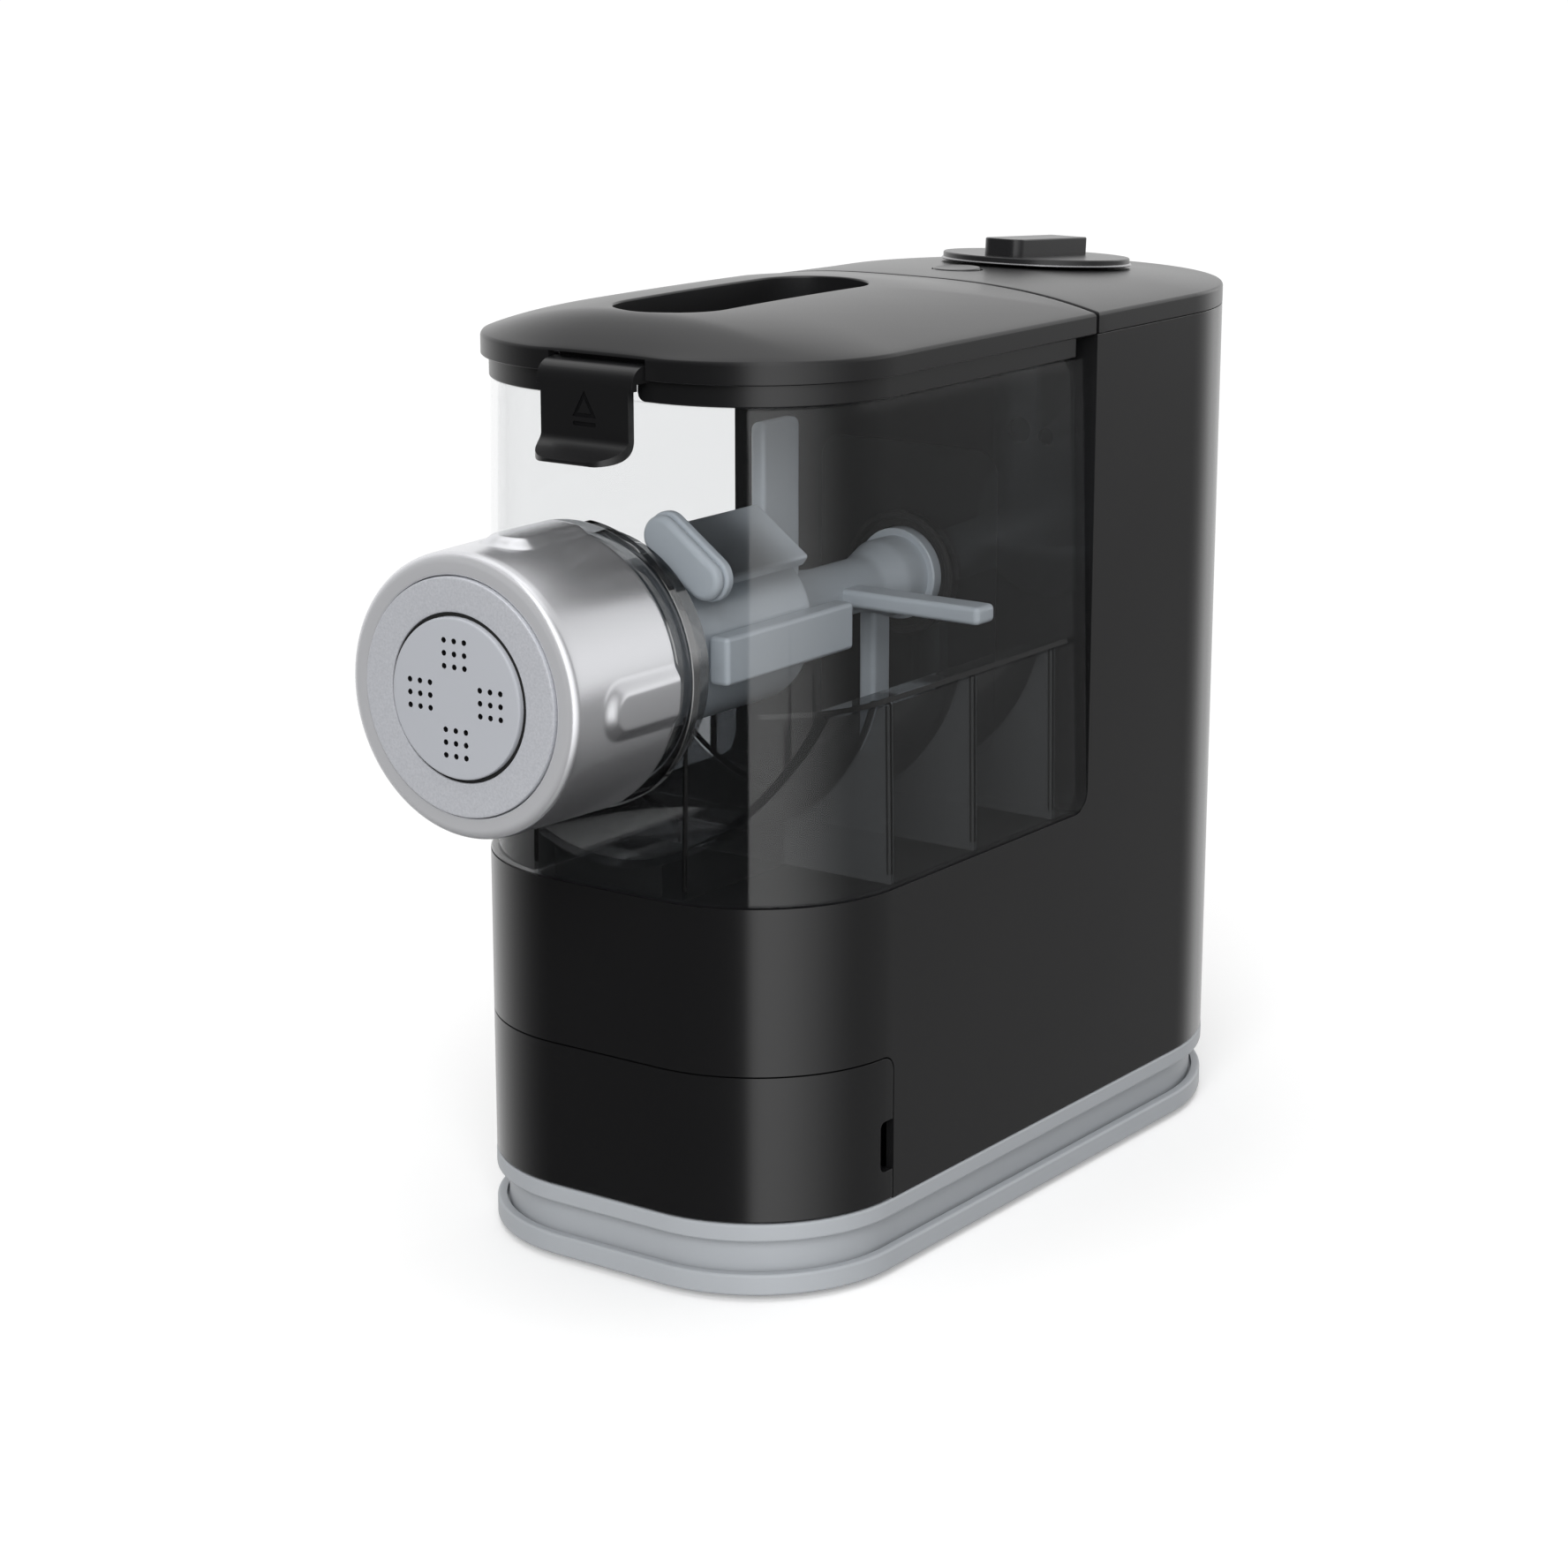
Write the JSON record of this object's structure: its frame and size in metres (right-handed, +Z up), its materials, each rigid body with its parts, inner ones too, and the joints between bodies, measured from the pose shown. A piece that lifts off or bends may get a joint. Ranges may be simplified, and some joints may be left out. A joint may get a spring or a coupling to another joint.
{
  "type": "electric pasta maker",
  "caption": "Compact electric pasta maker: black drive tower, clear mixing chamber with kneading hook, silver nozzle nut, drawer and grey plinth.",
  "frame": {"origin": "middle of the footprint, nozzle included, on the surface that the rubber feet stand on", "axes": "+Z up, the nozzle points to -Y, +X to the right seen from the nozzle side"},
  "size_m": [0.1366, 0.3456, 0.2858],
  "materials": {
    "body_black": "satin black moulded plastic",
    "control_black": "satin dark grey-black plastic",
    "inner_black": "matt black plastic",
    "plinth_grey": "satin blue-grey plastic",
    "clear": "clear, slightly smoky moulded plastic",
    "food_grey": "satin light blue-grey food plastic",
    "nut_silver": "satin silver metal",
    "disc_grey": "fine-grained light grey plastic",
    "rubber": "black rubber",
    "steel": "machined steel",
    "gear_white": "natural acetal",
    "cast_alloy": "die-cast alloy",
    "motor_iron": "laminated iron with copper winding",
    "board_green": "circuit board"
  },
  "bodies": {
    "housing": {"base_plinth": "plinth_grey", "base_plate": "inner_black", "rubber_foot_1": "rubber", "rubber_foot_2": "rubber", "rubber_foot_3": "rubber", "rubber_foot_4": "rubber", "base_screw_1": "steel", "base_screw_2": "steel", "base_screw_3": "steel", "base_screw_4": "steel", "cord_inlet_bush": "rubber", "lower_housing": "body_black", "drive_tower": "body_black", "drive_panel": "inner_black", "top_cover": "body_black", "control_board": "board_green", "button_switch": "inner_black", "selector_switch": "inner_black", "power_board": "board_green", "lid_safety_switch": "inner_black", "button_spring": "steel", "gear_plate_front": "cast_alloy", "gear_plate_rear": "cast_alloy", "output_bearing": "steel", "idler_shaft": "steel", "motor_front_cap": "cast_alloy", "motor_stator": "motor_iron", "motor_rear_cap": "cast_alloy"},
    "drawer": {"drawer_front": "body_black", "drawer_tray": "inner_black"},
    "chamber": {"mixing_chamber": "clear", "nozzle_neck": "clear", "shaft_seal": "rubber", "extrusion_tube": "food_grey", "shaping_disc": "disc_grey"},
    "lid": {"lid_left": "body_black", "lid_middle": "body_black", "lid_right": "body_black", "lid_band_left": "body_black", "lid_band_right": "body_black", "latch_pin": "steel"},
    "latch": {"lid_latch": "body_black"},
    "nut": {"locking_nut": "nut_silver", "nut_face_plate": "disc_grey"},
    "hook": {"kneading_hook": "food_grey", "extrusion_screw": "food_grey"},
    "output": {"output_shaft": "steel", "output_gear": "gear_white"},
    "idler": {"idler_gear": "gear_white"},
    "rotor": {"motor_rotor": "motor_iron", "motor_shaft": "steel", "motor_pinion": "steel", "cooling_fan": "inner_black"},
    "knob": {"selector_knob": "control_black", "knob_trim_ring": "nut_silver"},
    "button": {"start_button": "control_black"}
  },
  "joints": [
    {"name": "drawer_slide", "type": "slide", "parent": "housing", "child": "drawer", "axis": [0, -1, 0], "range_m": [0, 0.095]},
    {"name": "chamber_slide", "type": "slide", "parent": "housing", "child": "chamber", "axis": [0, -1, 0], "range_m": [0, 0.16]},
    {"name": "lid_lift", "type": "slide", "parent": "chamber", "child": "lid", "axis": [0, 0, 1], "range_m": [0, 0.05]},
    {"name": "latch_hinge", "type": "hinge", "parent": "lid", "child": "latch", "pos_m": [0, -0.10765, 0.2677], "axis": [-1, 0, 0], "range_deg": [0, 30]},
    {"name": "nut_turn", "type": "hinge", "parent": "chamber", "child": "nut", "pos_m": [0, -0.1442, 0.18624], "axis": [0, -1, 0], "range_deg": [0, 90]},
    {"name": "hook_spin", "type": "hinge", "parent": "chamber", "child": "hook", "pos_m": [0, 0.0058, 0.18624], "axis": [0, 1, 0], "continuous": true},
    {"name": "output_spin", "type": "hinge", "parent": "housing", "child": "output", "pos_m": [0, 0.0558, 0.18624], "axis": [0, 1, 0], "continuous": true},
    {"name": "idler_spin", "type": "hinge", "parent": "housing", "child": "idler", "pos_m": [0, 0.0658, 0.13449], "axis": [0, 1, 0], "continuous": true},
    {"name": "rotor_spin", "type": "hinge", "parent": "housing", "child": "rotor", "pos_m": [0, 0.1058, 0.10209], "axis": [0, 1, 0], "continuous": true},
    {"name": "knob_turn", "type": "hinge", "parent": "housing", "child": "knob", "pos_m": [0, 0.1195, 0.27601], "axis": [0, 0.0563, 0.9984], "range_deg": [-60, 60]},
    {"name": "button_press", "type": "slide", "parent": "housing", "child": "button", "axis": [0, 0, -1], "range_m": [0, 0.0012], "stiffness_N_per_m": 400, "springref_m": -0.001, "deforming": ["button_spring"]}
  ],
  "couplings": [
    {"joint": "output_spin", "follows": "hook_spin", "ratio": 1},
    {"joint": "idler_spin", "follows": "hook_spin", "ratio": -4},
    {"joint": "rotor_spin", "follows": "hook_spin", "ratio": 20}
  ]
}
